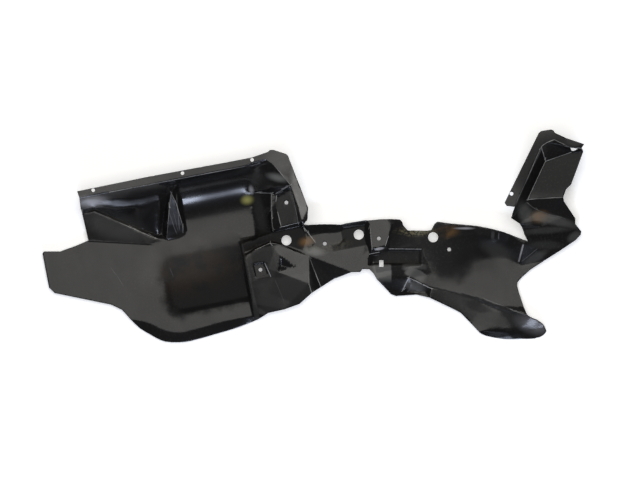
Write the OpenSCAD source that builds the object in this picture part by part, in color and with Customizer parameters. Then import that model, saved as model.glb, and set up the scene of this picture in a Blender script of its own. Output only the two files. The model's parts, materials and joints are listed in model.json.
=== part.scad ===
// Wheel arch liner: one moulded plastic sheet. On the left a wheel tub with a flange, in the middle
// a narrow faceted bridge with bolt holes, and on the right a lobe with a raised wing.
// The sheet is drawn as panels of its upper skin, seen from above, and gets its thickness below.
// X runs along the tub flange, Y towards it and Z up from the table that the sheet lies on.

/* [Sheet] */
// Thickness of the moulded sheet
sheet_t = 2.5; // [1.8:0.1:3.5]

/* [Tub] */
// Length of the tongue that reaches past the left end of the flange
tongue_l = 93; // [70:1:120]
// Depth of the shallow dish under the floor of the tub
dish_depth = 9; // [8:1:20]
// Width of the sloping side of the dish
dish_side = 22; // [12:1:30]
// Width of the gentle slope along the back of the dish
dish_slope = 46; // [34:1:56]
// Corner radius of the dish at its upper edge
dish_corner_r = 36; // [32:1:44]
// Height of the round wall from the floor to the flange
tub_h = 77; // [70:1:84]
// Distance from the flange to the foot of the round wall
wall_reach = 97; // [92:1:104]
// Width of the flange along the back of the tub
flange_w = 15; // [12:1:18]
// Drop of the turned down lip along the front of the tub
lip_drop = 5; // [3:1:8]
// Height of the upper end of the raised triangle's fold over the floor
triangle_h = 10; // [6:1:16]
// Depth of the pocket between the raised triangle and the rib, under the floor
rib_pocket_depth = 6; // [3:1:8]
// Height of the rib's upper end over the floor
rib_h = 46; // [40:1:52]

/* [Box] */
// Height of the box lid over the floor of the tub
lid_h = 20; // [14:1:26]
// Rise of the lid towards its back end
lid_rise = 8; // [4:1:12]
// Height of the ridge beside the lid over the lid
ridge_h = 8; // [4:1:12]
// Height of the lower end of the right flange over the floor
flange_end_h = 76; // [64:1:80]

/* [Bridge] */
// Height of the trench around the first large hole over the floor
trench_h = 13; // [9:0.5:14]
// Height of the plate beside the dish over the floor
plate_h = 17; // [15:1:22]
// Depth of the square recess around the hole in the plate
recess_depth = 3; // [2.5:0.5:5]
// Height of the centre plate over the floor
centre_h = 14; // [12:1:17]
// Depth of the sunk facet in the folded corner below the trench
facet_depth = 8; // [4:1:12]
// Height of the tapered pad over the floor
pad_h = 20; // [17:1:25]
// Depth of the long slot under its rim
slot_depth = 6; // [3:1:10]
// Depth of the cup at the lower edge under its rim
cup_depth = 7; // [3:1:9]

/* [Lobe] */
// Depth of the lobe under the pad of the third large hole
lobe_depth = 13; // [9:1:18]
// Height of the step along the foot
foot_step = 5; // [3:0.5:7]
// Height of the bulge at the right end of the foot over the table
foot_bulge = 20; // [15:1:24]
// Width of the rounded toe along the lower edge of the foot
toe_w = 15; // [8:1:22]

/* [Wing] */
// Height of the wing's flange over the floor of the tub
wing_h = 68; // [60:1:78]
// Depth of the wing's pocket under its flange
wing_pocket_depth = 34; // [28:1:40]

/* [Holes] */
// Diameter of the three large bolt holes
large_hole_d = 20; // [14:0.5:21]
// Diameter of the screw holes in the tub flange
flange_hole_d = 7; // [5:0.5:9]
// Diameter of the other screw holes
screw_hole_d = 7.5; // [5:0.5:10]

/* [Hidden] */
$fn = 48;
liner_colour = [0.07, 0.07, 0.075];

// Heights of the upper skin over the table
floor_z = sheet_t + dish_depth;
function up(h) = floor_z + h;
flange_z = up(tub_h);
lip_z = up(-lip_drop);
lid_z = up(lid_h);
ridge_z = lid_z + ridge_h;
trench_z = up(trench_h);
plate_z = up(plate_h);
centre_z = up(centre_h);
pad_z = up(pad_h);
shelf_z = up(centre_h - 2);
slot_z = shelf_z - slot_depth;
lobe_z = shelf_z - lobe_depth;
wing_z = up(wing_h);
pocket_z = wing_z - wing_pocket_depth;

// Lines along the tub that the flange and the wall keep
flange_back = 187;
flange_front = flange_back - flange_w;
tub_foot = flange_front - wall_reach;
// Steps of the round wall, and its first angle, which gives the wall its draft
wall_steps = 9;
wall_start = 8;
// Smallest turn that still counts as a corner
eps = 0.001;

// Lists of points
function reversed(list) = [for (i = [len(list) - 1:-1:0]) list[i]];
function part_of(list, first, last) = [for (i = [first:last]) list[i]];
function flat(plan, z) = [for (p = plan) [p.x, p.y, z]];
function total(list, i = 0) = i < len(list) - 1 ? list[i] + total(list, i + 1) : list[i];
// Quadrilaterals between two lines that have as many points
function strip(a, b) = [for (i = [0:len(a) - 2]) [a[i], a[i + 1], b[i + 1], b[i]]];

// Smooth curve through points, with a middle point added between each two
function middle(a, b, c, d) = (9 * (b + c) - a - d) / 16;
function smoothed(p) = let (last = len(p) - 1) concat([for (i = [0:last - 1])
    each [p[i], middle(p[max(i - 1, 0)], p[i], p[i + 1], p[min(i + 2, last)])]], [p[last]]);

// Twice the area of a triangle seen from above, positive when it runs anticlockwise
function turn(a, b, c) = (b.x - a.x) * (c.y - a.y) - (b.y - a.y) * (c.x - a.x);
function loop_area(p) = total([for (i = [1:len(p) - 2]) turn(p[0], p[i], p[i + 1])]);
function holds(a, b, c, p) = p != a && p != b && p != c
    && turn(a, b, p) > -eps && turn(b, c, p) > -eps && turn(c, a, p) > -eps;
// Corner of a loop that comes off with the shortest cut and leaves no point behind it
function best_ear(v) = let (
    n = len(v),
    cuts = [for (i = [0:n - 1])
        let (a = v[(i + n - 1) % n], b = v[i], c = v[(i + 1) % n])
        if (turn(a, b, c) > eps && len([for (p = v) if (holds(a, b, c, p)) 1]) == 0)
            [norm(c - a), i]],
    shortest = min([for (cut = cuts) cut[0]]))
    [for (cut = cuts) if (cut[0] == shortest) cut[1]][0];
function ears(v) = len(v) == 3 ? [v] : let (n = len(v), i = best_ear(v))
    concat([[v[(i + n - 1) % n], v[i], v[(i + 1) % n]]],
        ears([for (k = [0:n - 1]) if (k != i) v[k]]));
function distinct(v) = [for (i = [0:len(v) - 1]) if (v[i] != v[(i + 1) % len(v)]) v[i]];
function triangles(panel) = let (v = distinct(panel)) ears(loop_area(v) > 0 ? v : reversed(v));

// Dish: rings from its upper edge down to its bottom, open towards the bridge
dish_right = -160;
dish_left = -334;
dish_back = 28;
dish_front = -100;
corner_steps = 4;
function arc_points(centre, r, from, to) = [for (i = [0:corner_steps])
    let (a = from + (to - from) * i / corner_steps) centre + r * [cos(a), sin(a)]];
function dish_ring(share) = let (
    r = dish_corner_r - share * dish_side,
    x = dish_left + r + share * dish_side * 1.4,
    back = dish_back - share * dish_slope,
    front = dish_front + share * dish_side)
    flat(concat([[dish_right, back]],
        arc_points([x, back - r], r, 90, 180), arc_points([x, front + r], r, 180, 270),
        [[dish_right, front]]), floor_z - dish_depth * (1 - cos(180 * share)) / 2);
dish_rings = [for (share = [0:0.25:1]) dish_ring(share)];
dish_edge = dish_rings[0];
dish_bottom = dish_rings[4];
dish_last = len(dish_edge) - 1;

// Tongue and front lip along the outer edge
function tongue_x(share) = -457 - tongue_l * share;
tongue_edge = flat([[-455, 86], [tongue_x(0.27), 80], [tongue_x(0.62), 75], [tongue_x(0.96), 81],
    [tongue_x(1), 78], [tongue_x(1), 8], [tongue_x(0.9), -5], [tongue_x(0.27), -29], [-434, -49],
    [-415, -63]], floor_z);
lip_start = [-401, -86, floor_z];
lip_fold = smoothed(concat([lip_start], flat([[-376, -95], [-358, -105], [-345, -115], [-331, -123],
    [-312, -129], [-292, -130], [-244, -125], [-196, -124], [-160, -125]], floor_z)));
lip_edge = smoothed(concat([lip_start], flat([[-387, -106], [-369, -122], [-356, -133],
    [-341, -142], [-317, -148], [-292, -150], [-242, -146], [-193, -141], [-152, -133]], lip_z)));
lip_last = len(lip_edge) - 1;

// Tub wall: round sections from the flange down to the floor
function wall_angle(i) = wall_start + (90 - wall_start) * i / wall_steps;
function wall_y(i) = tub_foot + wall_reach * cos(wall_angle(i)) / cos(wall_start);
function wall_z(i) = flange_z
    - tub_h * (sin(wall_angle(i)) - sin(wall_start)) / (1 - sin(wall_start));
function wall_line(x) = [for (i = [0:wall_steps]) [x, wall_y(i), wall_z(i)]];
wall_left = wall_line(-257);
wall_right = wall_line(-122);

// Raised triangle, pocket and rib at the left end of the wall, column by column
triangle_foot = flat([[-455, 86], [-420, 77], [-380, 66], [-340, 54]], floor_z);
rib_foot = flat([[-340, 54], [-300, 56], [-272, 57], [-261, 61], [-257, 68]], floor_z);
left_edge = [[-457, 140, up(triangle_h * 0.92)], [-457, 149, up(58)],
    [-456, 164, flange_z - 7], [-455, flange_front, flange_z]];
triangle_fold = [[-433, 141, up(triangle_h)], [-395, 115, up(triangle_h * 0.72)],
    [-350, 84, up(triangle_h * 0.4)], [-322, 65, up(triangle_h * 0.16)]];
trough = [[-429, 145, up(triangle_h * 0.7)], [-391, 119, up(triangle_h * 0.2)],
    [-346, 88, up(-rib_pocket_depth * 0.5)], [-315, 70, up(-rib_pocket_depth)]];
slope_low = [[-433, 149, up(60)], [-390, 135, up(46)], [-345, 133, up(42)], [-300, 138, up(44)]];
slope_high = [[-433, 167, flange_z - 5], [-390, 156, up(57)], [-345, 149, up(50)],
    [-298, 151, up(51)]];
flange_fold = [for (x = [-433, -390, -345, -300]) [x, flange_front, flange_z]];
rib_fold = [[-274, 148, up(rib_h)], [-284, 118, up(rib_h * 0.64)], [-293, 86, up(rib_h * 0.28)],
    [-300, 62, up(3)]];
rib_shade = [[-281, 147, up(40)], [-294, 117, up(10)], [-303, 88, up(-3)],
    [-307, 70, up(-rib_pocket_depth)]];
rib_ridge = [rib_fold[0], [-268, 126, up(rib_h * 0.72)], [-266, 102, up(rib_h * 0.42)],
    [-264, 80, up(rib_h * 0.17)], [-266, 66, up(2)]];
rib_back = [-276, 162, up(58)];
rib_corner = [-276, flange_front, flange_z];

// Flanges: the long one along the tub, and the right one that runs down beside the box
arc_shares = [1, 0.95, 0.87, 0.76, 0.63, 0.5, 0.4];
arc_fold_plan = [[-75, flange_front + 6], [-67, 170], [-60, 160], [-54, 149], [-48, 138],
    [-42, 127], [-37, 118]];
arc_edge_plan = [[-31, 177], [-30, 170], [-28, 160], [-26, 149], [-24, 138], [-22, 127],
    [-20, 118]];
flange_cant = 4;
function arc_z(i) = up(flange_end_h + (tub_h - flange_end_h) * (arc_shares[i] - 0.25) / 0.75);
arc_fold = [for (i = [0:6]) [arc_fold_plan[i].x, arc_fold_plan[i].y, arc_z(i)]];
arc_edge = [for (i = [0:6])
    [arc_edge_plan[i].x, arc_edge_plan[i].y, arc_z(i) - flange_cant * i / 6]];
flange_inner = concat(arc_fold, [[-31, 75, up(flange_end_h + 1)], [-29, 44, up(flange_end_h)]]);
flange_outer = concat(arc_edge,
    [[-11, 67, up(flange_end_h + 1 - flange_cant)], [-17, 44, up(flange_end_h - flange_cant)]]);
flange_corner = [-27, 36, up(flange_end_h - 5)];

// Box: skirt that rises from the tub, ridge, and a sunk lid with a screw hole
skirt_foot = [wall_right[wall_steps], [-124, 60, floor_z], [-126, 30, floor_z]];
skirt_low = concat(part_of(wall_right, 6, 8), skirt_foot);
skirt_mid = [[-107, 117, up(14)], [-104, 109, up(14)], [-101, 100, up(14)], [-99, 88, up(13)],
    [-96, 62, up(12)], [-93, 33, up(12)]];
ridge = flat([[-78, 110], [-81, 95], [-84, 80], [-87, 58], [-89, 36]], ridge_z);
function on_lid(x, y) = [x, y, lid_z + lid_rise * (y - 40) / 72];
lid_left = [on_lid(-69, 102), on_lid(-72, 92), on_lid(-73, 78), on_lid(-72, 58), on_lid(-71, 40)];
lid_right = [on_lid(-38, 112), on_lid(-36, 75), on_lid(-36, 42)];
box_peak = [-70, 107, lid_z + lid_rise + 4];
box_foot = flat([[-92, 30], [-87, 32], [-70, 33], [-36, 34], [-31, 29]], trench_z);
crease_top = [-27, 31, up(centre_h + 1)];

// Trench of the first large hole, the step from the tub up to the bridge, and the plate
trench_back = [[-156, 22, trench_z + 2], [-124, 27, trench_z + 1]];
trench_front = [[-156, 0, trench_z - 2], [-128, 9, trench_z - 1], [-98, 16, trench_z],
    [-84, 11, trench_z], [-58, -6, trench_z]];
trench_right = flat([[-31, 29], [-25, 15], [-15, -5]], trench_z);
crease = [crease_top, [-20, 17, centre_z], [-10, -3, centre_z]];
plate_slope = 0.105;
function on_plate(p) = [p.x, p.y, plate_z + plate_slope * (p.y + 28)];
upper_fold = [on_plate([-156, -4]), on_plate([-128, 6]), on_plate([-99, 13]),
    [-85, 8, plate_z + 3], [-60, -9, plate_z + 1]];
hub = [-28, -27, centre_z + 1];
plate_low = on_plate([-156, -60]);
plate_end = on_plate([-110, -55]);
apron_edge = [[-144, -130, up(6)], [-129, -124, up(6)], [-96, -123, up(7)], [-64, -118, up(9)],
    [-36, -101, up(11)]];
apron_side = [-156, -100, up(9)];
step_foot = concat([for (k = [0:4]) dish_rings[k][0]],
    [for (k = [4:-1:0]) dish_rings[k][dish_last]], [lip_fold[lip_last], lip_edge[lip_last]]);
step_top = [trench_back[0], trench_front[0], upper_fold[0], plate_low, apron_side, apron_edge[0]];
corner_z = plate_z - facet_depth;
z_left = [on_plate([-96, -44]), on_plate([-92, -48])];
z_notch = [[-84, -17, plate_z + 2], [-86, -35, corner_z], [-68, -45, plate_z - 2]];
z_tip = [[-62, -42, plate_z - 1], [-55, -41, plate_z - 1]];
fang = [-38, -82, plate_z - 1];
plate_hole = [-128, -36];
recess_plan = [[-141, -22], [-118, -23], [-115, -48], [-139, -51]];
recess_draft = 0.9;
recess_rim = [for (p = recess_plan) on_plate(p)];
recess_low = flat([for (p = recess_plan) plate_hole + (p - plate_hole) * recess_draft],
    plate_z - recess_depth);

// Centre plate, web around the second large hole, and the light facets below them
ridge_edge = [flange_corner, [-20, 34, centre_z + 5], [10, 30, centre_z + 5],
    [47, 22, centre_z + 5], [100, 20.5, pad_z]];
centre_right = [[36, 8, centre_z], [47, -6, centre_z], [22, -27, centre_z]];
web = flat([[52, 13], [93, 12], [88, -21], [34, -21], [54, -6]], trench_z);
sill = [[5, -28, centre_z], [86, -27, centre_z]];
facet_edge = [[-16, -93, up(3)], [12, -82, up(5)], [50, -75, centre_z - 2],
    [67, -78, centre_z - 2]];
facet_side = [[79, -46, centre_z - 1], [70, -70, centre_z - 2]];

// Tapered pad with its screw hole, the shelf of the third large hole, and the long slot
pad = flat([[103, 10], [143, 8], [126, -36], [112, -39], [99, -36]], pad_z);
function on_shelf(x, y) = [x, y, shelf_z + shelf_rise * (y + 48) / 56];
shelf_rise = 8;
pad_foot = [[92, -38, shelf_z], [92, -46, shelf_z], [112, -46, shelf_z], [131, -43, shelf_z],
    on_shelf(150, 8), on_shelf(150, 14)];
pad_edge = [ridge_edge[4], [107, 20, pad_z], [127, 18, pad_z]];
notch_edge = [on_shelf(165, 10), on_shelf(168, 5), on_shelf(169, -3), on_shelf(176, -14),
    on_shelf(214, -22), on_shelf(222, -22), on_shelf(231, -11), on_shelf(237, -8)];
slot_rim = flat([[92, -46], [112, -46], [131, -43], [196, -56], [190, -88], [138, -78], [118, -74],
    [84, -68]], shelf_z);
slot_low = concat(flat([[99, -51], [112, -51], [131, -48], [190, -60]], slot_z + 1),
    flat([[186, -83], [137, -73], [118, -70], [94, -65]], slot_z - 1));

// Facets and cup at the lower edge, left of the lobe
lower_edge = [[72, -73, shelf_z], [86, -76, shelf_z], [92, -85, shelf_z - 1],
    [97, -99, shelf_z - 1], [109, -117, up(4)], [119, -133, up(-1)], [127, -138, up(-3)]];
brow = [128, -101, shelf_z - 1.5];
chin = [130, -128, up(-1)];
cup_rim = [[143, -131, up(-2)], [160, -107, shelf_z - 2], [200, -137, lobe_z + 6]];
function cup_z(i) = max(sheet_t, cup_rim[i].z - cup_depth);
cup_low = [[151, -134, cup_z(0)], [163, -119, cup_z(1)], [188, -141, cup_z(2)]];
cup_edge = [[169, -143, up(-3)], [193, -154, lobe_z + 4]];

// Lobe: rows from its upper rim down to its floor, then the fold and the foot
lobe_slope = [1, 0.5, 0.18, 0];
lobe_plan = [[[196, -56], [225, -54], [255, -46], [300, -46], [345, -62]],
    [[203, -82], [228, -78], [258, -72], [300, -68], [349, -76]],
    [[207, -105], [232, -100], [262, -95], [302, -86], [355, -90]],
    [[212, -126], [238, -121], [268, -112], [306, -102], [362, -104]]];
lobe_rise = [6, 3, 0, 0, 0];
lobe_rows = [for (k = [0:3]) [for (i = [0:4]) [lobe_plan[k][i].x, lobe_plan[k][i].y,
    lobe_z + lobe_depth * lobe_slope[k] + lobe_rise[i] * (1 - lobe_slope[k])]]];
lobe_edge = [notch_edge[7], [264, -17, shelf_z + 4], [313, -31, shelf_z + 3],
    [338, -41, shelf_z + 3], [357, -50, shelf_z + 4]];
rib_line = [[397, -84, up(16)], [380, -118, lobe_z]];
corner_edge = [[376, -61, up(16)], [407, -80, up(17)], [422, -91, up(14)]];
corner_low = [386, -125, lobe_z];
lobe_fold = [cup_rim[2], [256, -155, lobe_z + foot_step], [300, -180, lobe_z + foot_step],
    [330, -199, lobe_z + foot_step], [379, -225, foot_bulge + 1]];
lobe_low = [lobe_rows[3][0], [225, -136, lobe_z + 5], [268, -148, lobe_z + 2],
    [310, -172, lobe_z + 1], [350, -197, lobe_z + 1]];
lobe_side = [[434, -124, up(4)], [402, -137, lobe_z + 2], [382, -149, lobe_z],
    [372, -157, lobe_z], [370, -164, lobe_z], [371, -177, lobe_z], [375, -207, lobe_z + 2]];
foot_fold = [lobe_fold[0], lobe_fold[1], [297, -184, lobe_z + foot_step - 3],
    [326, -204, lobe_z + foot_step - 3], [384, -230, foot_bulge]];
foot_west = [[212, -168, lobe_z + 3], [238, -187, lobe_z + 1.5], [249, -196, lobe_z + 1],
    [265, -220, lobe_z - 1]];
foot_tip = [[397, -239, foot_bulge * 0.85], [406, -248, foot_bulge * 0.6]];
toe_z = sheet_t + 8;
toe_fold = smoothed([[279, -242, toe_z], [292, -240, toe_z], [330, -248, toe_z],
    [376, -254, toe_z - 3], [409, -255, toe_z - 2]]);
function toe(x, y, share) = [x, y - toe_w * share, sheet_t + 0.5];
toe_edge = smoothed([toe_fold[0], toe(291, -242, 0.6), toe(326, -249, 1), toe(360, -255, 1),
    toe(385, -259, 1), toe(403, -258, 0.85), toe(411, -259, 0.3)]);
toe_last = len(toe_edge) - 1;

// Neck and wing: the flange, the deep pocket and the dark wall below it
neck_fold = [[401, -52, up(22)], [440, -57, up(24)], [507, -64, up(15)]];
neck_mid = [465, -88, up(13)];
neck_edge = [[516, -81, up(11)], [514, -87, up(10)], [502, -96, up(9)], [467, -111, up(7)]];
curve = [[420, -4, pocket_z - 1], [428, -14, pocket_z - 4], [440, -24, pocket_z - 7],
    [460, -36, pocket_z - 10], [483, -46, pocket_z - 13], [509, -53, pocket_z - 16]];
wing_foot = [[394, -8, wing_z - 2], [383, -29, up(44)], [397, -42, up(30)]];
wing_inner = [wing_foot[0], [468, 100, wing_z], [480, 106, wing_z], [496, 109, wing_z]];
wing_outer = flat([[378, -3], [375, 4], [468, 128], [474, 131], [494, 130], [498, 127],
    [500, 122]], wing_z);
hood_edge = [[521, 107, wing_z - 3], [553, 89, wing_z - 6], [546, 82, wing_z - 7]];
hood_inner = [524, 88, wing_z - 5];
pocket_corner = [[422, 2, pocket_z], [471, 70, pocket_z]];
pocket_top = [[524, 78, pocket_z + 3], [549, 75, pocket_z + 6]];
pocket_side = [[524, 33, pocket_z + 3], [513, 15, pocket_z + 2], [501, 7, pocket_z + 1],
    [493, -7, pocket_z]];
wall_side = [493, -16, pocket_z - 4];

// Tub: floor, dish, lip and round wall
tub_panels = concat(
    [dish_bottom],
    [for (k = [0:3]) each strip(dish_rings[k], dish_rings[k + 1])],
    [concat(tongue_edge, lip_fold, reversed(part_of(dish_edge, 1, dish_last)),
        reversed(part_of(triangle_foot, 1, 3)))],
    [concat(part_of(dish_edge, 0, 1), rib_foot, [wall_left[wall_steps], wall_right[wall_steps]],
        part_of(skirt_foot, 1, 2))],
    strip(lip_fold, lip_edge),
    strip(wall_left, wall_right));

// Raised triangle and the pocket behind it
triangle_panels = concat(
    [concat(triangle_foot, reversed(triangle_fold), [left_edge[0]])],
    strip(triangle_fold, trough),
    [[left_edge[0], triangle_fold[0], trough[0], slope_low[0], left_edge[1]]],
    strip(trough, slope_low),
    strip(slope_low, slope_high),
    strip(slope_high, flange_fold),
    [[left_edge[1], slope_low[0], slope_high[0], left_edge[2]],
        [left_edge[2], slope_high[0], flange_fold[0], left_edge[3]]],
    [[rib_foot[0], rib_foot[1], rib_shade[3], trough[3], triangle_fold[3]],
        [rib_foot[1], rib_fold[3], rib_shade[3]],
        [trough[3], rib_shade[3], rib_shade[2]],
        [trough[3], rib_shade[2], rib_shade[1], slope_low[3]],
        [slope_low[3], rib_shade[1], rib_shade[0]],
        [slope_high[3], slope_low[3], rib_shade[0], rib_back],
        [rib_shade[0], rib_fold[0], rib_back]]);

// Rib between the pocket and the round wall
rib_panels = concat(
    strip(rib_fold, rib_shade),
    [[rib_fold[0], rib_fold[1], rib_ridge[1]],
        [rib_fold[1], rib_fold[2], rib_ridge[2], rib_ridge[1]],
        [rib_fold[2], rib_fold[3], rib_ridge[4], rib_ridge[3], rib_ridge[2]],
        [rib_ridge[0], wall_left[4], wall_left[5], wall_left[6], rib_ridge[1]],
        [rib_ridge[1], wall_left[6], wall_left[7], wall_left[8], rib_ridge[2]],
        [rib_ridge[2], wall_left[8], wall_left[9], rib_foot[4], rib_ridge[3]],
        [rib_ridge[3], rib_foot[4], rib_foot[3], rib_ridge[4]],
        [rib_ridge[4], rib_foot[3], rib_foot[2], rib_foot[1], rib_fold[3]],
        [rib_back, rib_fold[0], wall_left[4], wall_left[3], wall_left[2]],
        [rib_back, wall_left[2], wall_left[1], wall_left[0], rib_corner],
        [rib_back, rib_corner, flange_fold[3], slope_high[3]]]);

// Both flanges, and the wall under the arc between them
flange_panels = concat(
    [concat(flat([[-457, flange_back - 1], [-310, flange_back + 1], [-148, flange_back],
        [-102, flange_back], [-69, 192], [-64, 195], [-58, 194], [-34, 181]], flange_z),
        [flange_outer[0], flange_inner[0], wall_right[0], wall_left[0], rib_corner],
        reversed(flange_fold), [left_edge[3]])],
    strip(flange_inner, flange_outer),
    strip(part_of(wall_right, 0, 6), arc_fold));

// Box with its skirt, ridge and lid
box_panels = concat(
    strip(skirt_low, skirt_mid),
    [[skirt_mid[0], skirt_mid[1], ridge[0]]],
    strip(part_of(skirt_mid, 1, 5), ridge),
    strip(ridge, lid_left),
    [concat(lid_left, reversed(lid_right))],
    [[ridge[0], box_peak, lid_left[0]],
        [box_peak, flange_inner[6], lid_right[0], lid_left[0]],
        [wall_right[6], skirt_mid[0], flange_inner[6]],
        [skirt_mid[0], ridge[0], flange_inner[6]],
        [ridge[0], box_peak, flange_inner[6]]],
    strip(lid_right, part_of(flange_inner, 6, 8)),
    strip([skirt_mid[5], ridge[4], lid_left[4], lid_right[2]], part_of(box_foot, 0, 3)),
    [[lid_right[2], flange_inner[8], crease_top, box_foot[4], box_foot[3]],
        [flange_inner[8], flange_outer[8], flange_corner],
        [flange_inner[8], flange_corner, crease_top]]);

// Trench, plate, folded corner and apron
bridge_panels = concat(
    [concat(step_foot, reversed(step_top))],
    strip([dish_edge[0], skirt_foot[2], skirt_mid[5]], concat(trench_back, [box_foot[0]])),
    [concat(trench_back, part_of(box_foot, 0, 3), trench_right, reversed(trench_front))],
    strip(trench_right, crease),
    strip(trench_front, upper_fold),
    [[trench_front[4], trench_right[2], crease[2], hub, upper_fold[4]]],
    [[upper_fold[0], upper_fold[1], upper_fold[2], recess_rim[1], recess_rim[0]],
        [upper_fold[2], z_left[0], z_left[1], plate_end, recess_rim[2], recess_rim[1]],
        [plate_end, plate_low, recess_rim[3], recess_rim[2]],
        [plate_low, upper_fold[0], recess_rim[0], recess_rim[3]]],
    strip(concat(recess_rim, [recess_rim[0]]), concat(recess_low, [recess_low[0]])),
    [recess_low],
    [[upper_fold[2], z_notch[0], z_left[1], z_left[0]],
        [upper_fold[2], upper_fold[3], upper_fold[4], z_tip[1], z_tip[0], z_notch[0]],
        [z_notch[0], z_tip[0], z_notch[2], z_notch[1]],
        [z_notch[0], z_notch[1], z_left[1]],
        [z_notch[1], z_notch[2], z_left[1]],
        [z_left[1], z_notch[2], z_tip[0], z_tip[1], hub, fang],
        [upper_fold[4], hub, z_tip[1]]],
    [[plate_low, plate_end, apron_edge[2], apron_edge[1], apron_edge[0], apron_side],
        [plate_end, z_left[1], fang, apron_edge[4], apron_edge[3], apron_edge[2]]]);

// Centre plate, web and the facets below
centre_panels = [
    [crease[1], centre_right[0], centre_right[1], centre_right[2], sill[0], hub, crease[2]],
    [crease[0], ridge_edge[0], ridge_edge[1], ridge_edge[2], ridge_edge[3], centre_right[0],
        crease[1]],
    web,
    [ridge_edge[3], ridge_edge[4], web[1], web[0]],
    [centre_right[0], ridge_edge[3], web[0]],
    [centre_right[0], web[0], web[4], centre_right[1]],
    [centre_right[1], web[4], web[3], centre_right[2]],
    [centre_right[2], web[3], web[2], sill[1]],
    [hub, sill[0], centre_right[2], sill[1], facet_side[0], facet_side[1], facet_edge[3],
        facet_edge[2]],
    [hub, fang, apron_edge[4], facet_edge[0]],
    [hub, facet_edge[0], facet_edge[1], facet_edge[2]]];

// Tapered pad, shelf and slot
pad_panels = concat([
    pad,
    [web[1], ridge_edge[4], pad[0]],
    [web[1], pad[0], pad[4], pad_foot[0], web[2]],
    [pad_edge[0], pad_edge[1], pad_edge[2], pad[1], pad[0]],
    [pad_edge[2], pad_foot[5], pad_foot[4], pad[1]],
    [pad[1], pad_foot[4], pad_foot[3], pad[2]],
    [pad[2], pad_foot[3], pad_foot[2], pad[3]],
    [pad[3], pad_foot[2], pad_foot[1], pad[4]],
    [pad[4], pad_foot[1], pad_foot[0]],
    [sill[1], web[2], pad_foot[0], pad_foot[1], facet_side[0]],
    concat([pad_foot[4], pad_foot[5]], notch_edge, reversed(part_of(lobe_rows[0], 0, 2)),
        [pad_foot[3]])],
    strip(concat(slot_rim, [slot_rim[0]]), concat(slot_low, [slot_low[0]])),
    [slot_low],
    [[facet_side[0], slot_rim[0], slot_rim[7], facet_side[1]]]);

// Facets and cup at the lower edge
facet_panels = [
    [facet_edge[3], lower_edge[0], facet_side[1]],
    [facet_side[1], slot_rim[7], slot_rim[6], slot_rim[5], brow, lower_edge[3], lower_edge[2],
        lower_edge[1], lower_edge[0]],
    [lower_edge[3], brow, chin, lower_edge[5], lower_edge[4]],
    [lower_edge[5], chin, cup_rim[0], lower_edge[6]],
    [slot_rim[5], cup_rim[1], cup_rim[0], chin, brow],
    [slot_rim[5], slot_rim[4], lobe_rows[1][0], lobe_rows[2][0], lobe_rows[3][0], cup_rim[2],
        cup_rim[1]],
    [slot_rim[4], slot_rim[3], lobe_rows[1][0]],
    [cup_rim[0], cup_rim[1], cup_low[1], cup_low[0]],
    [cup_rim[1], cup_rim[2], cup_low[2], cup_low[1]],
    cup_low,
    [cup_rim[0], cup_low[0], cup_low[2], cup_rim[2], cup_edge[1], cup_edge[0], lower_edge[6]]];

// Lobe, fold and foot
lobe_panels = concat(
    [for (k = [0:2]) each strip(lobe_rows[k], lobe_rows[k + 1])],
    [[lobe_edge[0], lobe_edge[1], lobe_rows[0][3], lobe_rows[0][2]],
        [lobe_edge[1], lobe_edge[2], lobe_rows[0][3]],
        [lobe_edge[2], lobe_edge[3], lobe_rows[0][4], lobe_rows[0][3]],
        [lobe_edge[3], lobe_edge[4], lobe_rows[0][4]],
        [lobe_edge[4], corner_edge[0], lobe_rows[1][4], lobe_rows[0][4]],
        [corner_edge[0], rib_line[0], lobe_rows[2][4], lobe_rows[1][4]],
        [rib_line[0], rib_line[1], lobe_rows[3][4], lobe_rows[2][4]],
        [corner_edge[0], corner_edge[1], rib_line[0]],
        [rib_line[0], corner_edge[1], corner_edge[2], corner_low, rib_line[1]]],
    [concat(lobe_rows[3], [rib_line[1], corner_low], part_of(lobe_side, 1, 6),
        reversed(part_of(lobe_low, 1, 4)))],
    [[lobe_low[0], lobe_low[1], lobe_fold[1], lobe_fold[0]],
        [lobe_low[1], lobe_low[2], lobe_fold[1]],
        [lobe_low[2], lobe_low[3], lobe_fold[2], lobe_fold[1]],
        [lobe_low[3], lobe_low[4], lobe_fold[3], lobe_fold[2]],
        [lobe_low[4], lobe_side[6], lobe_fold[4], lobe_fold[3]]],
    [[lobe_fold[1], lobe_fold[2], foot_fold[2]]],
    strip(part_of(lobe_fold, 2, 4), part_of(foot_fold, 2, 4)),
    [concat(foot_fold, foot_tip, reversed(toe_fold), reversed(foot_west), [cup_edge[1]])],
    [concat(toe_fold, reversed(part_of(toe_edge, 1, toe_last)))]);

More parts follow.
